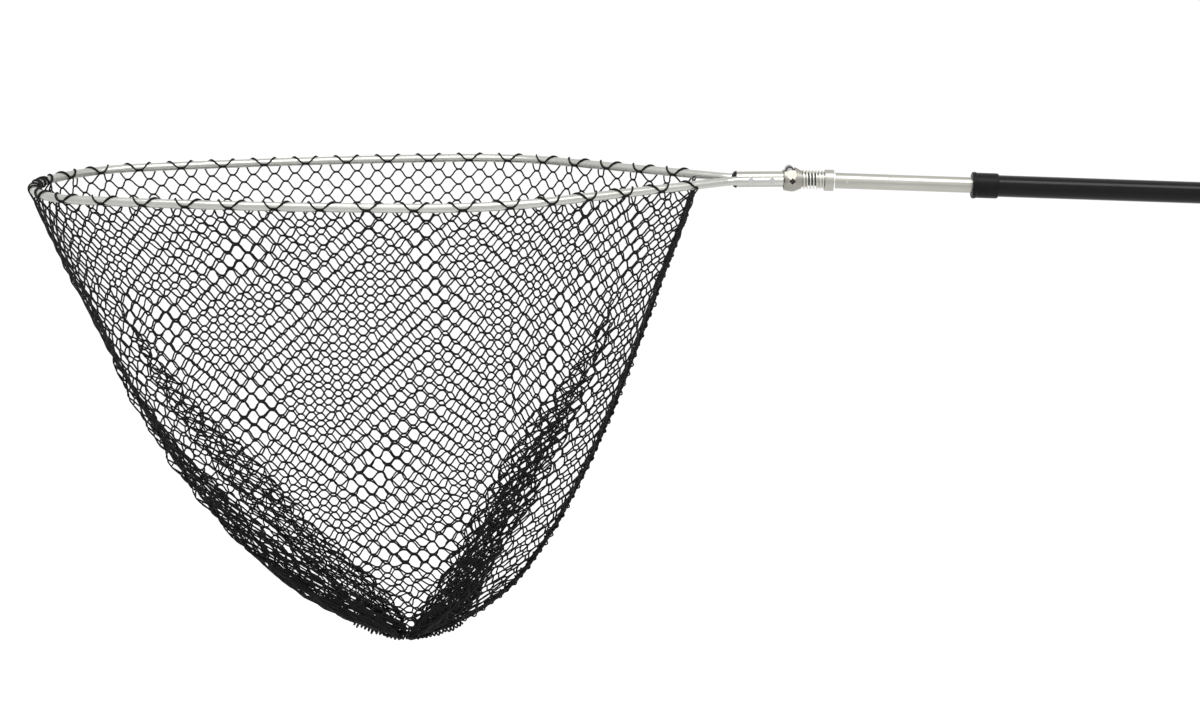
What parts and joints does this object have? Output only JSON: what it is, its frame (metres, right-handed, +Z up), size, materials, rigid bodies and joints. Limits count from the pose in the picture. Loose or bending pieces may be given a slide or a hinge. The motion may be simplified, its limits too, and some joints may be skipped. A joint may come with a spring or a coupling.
{
  "type": "landing net",
  "caption": "Folding landing net: teardrop tube hoop with a deep open-mesh bag, spring-locked hinge, telescopic pole and gripped handle.",
  "frame": {"origin": "on the handle's axis, at the middle of the plain butt end of the grip", "axes": "+X along the handle out of its butt, so the hoop is at -X; +Z up, out of the net's mouth; +Y across"},
  "size_m": [1.7557, 0.4608, 0.6022],
  "materials": {
    "gloss_black_tube": "gloss",
    "foam": "matte",
    "black_plastic": "satin",
    "rubber_cap": "matte",
    "nylon": "satin",
    "satin_aluminium": "satin",
    "bright_ring": "polished",
    "steel": "satin",
    "spring_steel": "satin",
    "cast_alloy": "cast",
    "hoop_aluminium": "satin",
    "net_cord": "matte",
    "seam_cord": "matte"
  },
  "bodies": {
    "handle": {"handle_tube": "gloss_black_tube", "foam_grip": "foam", "grip_trim": "black_plastic", "butt_plug": "black_plastic", "butt_cap": "rubber_cap", "nose_bush": "nylon", "collet": "nylon"},
    "collar": {"twist_collar": "black_plastic"},
    "pole": {"pole_tube": "satin_aluminium", "tail_bush": "nylon", "tail_pin": "steel", "fork_pins": "steel", "spring_seat": "satin_aluminium", "seat_ring": "bright_ring", "lock_spring": "spring_steel", "hinge_pin": "steel", "hinge_fork": "cast_alloy"},
    "sleeve": {"lock_sleeve": "cast_alloy"},
    "head": {"hoop_tube": "hoop_aluminium", "yoke_tube": "satin_aluminium", "yoke_tang": "cast_alloy", "yoke_cap": "black_plastic", "yoke_rivets": "steel", "net_bag": "net_cord", "seam_cord": "seam_cord", "toe_knot": "net_cord"}
  },
  "joints": [
    {"name": "telescope", "type": "slide", "parent": "handle", "child": "pole", "axis": [-1, 0, 0], "range_m": [-0.15, 0.38]},
    {"name": "twist_lock", "type": "hinge", "parent": "handle", "child": "collar", "pos_m": [-0.587, 0, 0], "axis": [1, 0, 0], "range_deg": [0, 90]},
    {"name": "sleeve_slide", "type": "slide", "parent": "pole", "child": "sleeve", "axis": [1, 0, 0], "range_m": [0, 0.012], "stiffness_N_per_m": 800, "springref_m": -0.006, "deforming": ["lock_spring"]},
    {"name": "head_fold", "type": "hinge", "parent": "pole", "child": "head", "pos_m": [-0.8125, 0, 0.0105], "axis": [0, 1, 0], "range_deg": [0, 175]}
  ]
}
